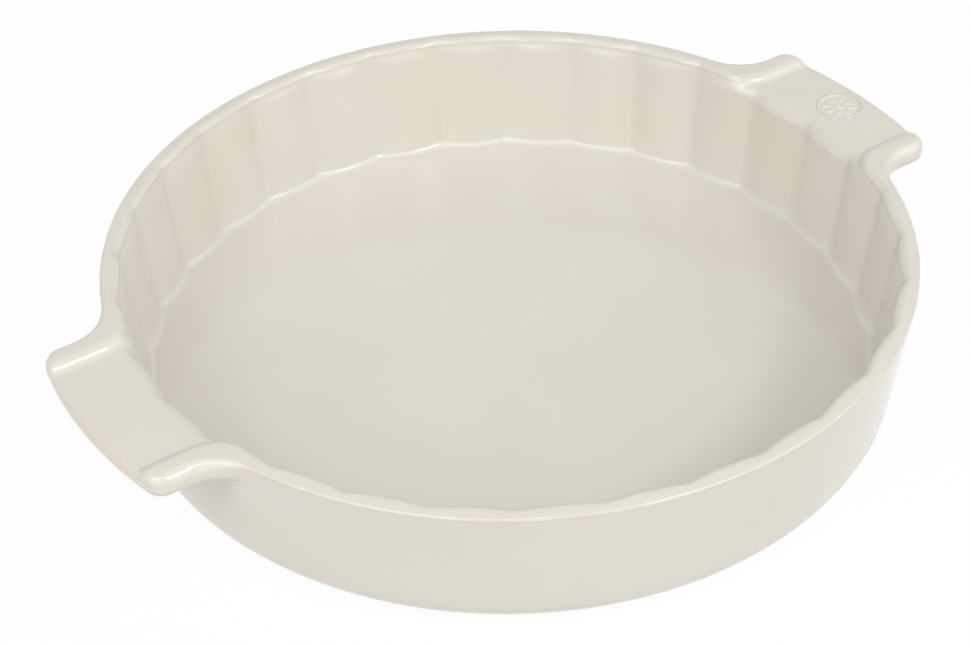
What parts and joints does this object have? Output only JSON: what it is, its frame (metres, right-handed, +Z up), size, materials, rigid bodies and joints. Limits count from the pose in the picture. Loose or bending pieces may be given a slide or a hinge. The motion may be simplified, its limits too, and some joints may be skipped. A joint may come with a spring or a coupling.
{
  "type": "pie dish",
  "caption": "Round glazed stoneware pie dish with a deep fluted inner wall, a plain outer wall and flat shelf handles at opposite sides.",
  "frame": {"origin": "centre of the plane that the foot ring stands on", "axes": "+Z up, the dish's turning axis; +X along both handles, towards the handle with the medallion"},
  "size_m": [0.348, 0.2994, 0.0556],
  "materials": {
    "cream_glaze": "gloss",
    "bare_clay": "matte"
  },
  "bodies": {
    "root": {"dish_bowl": "cream_glaze", "handle_left": "cream_glaze", "handle_right": "cream_glaze", "handle_medallion": "cream_glaze", "foot_ring": "bare_clay"}
  },
  "joints": []
}
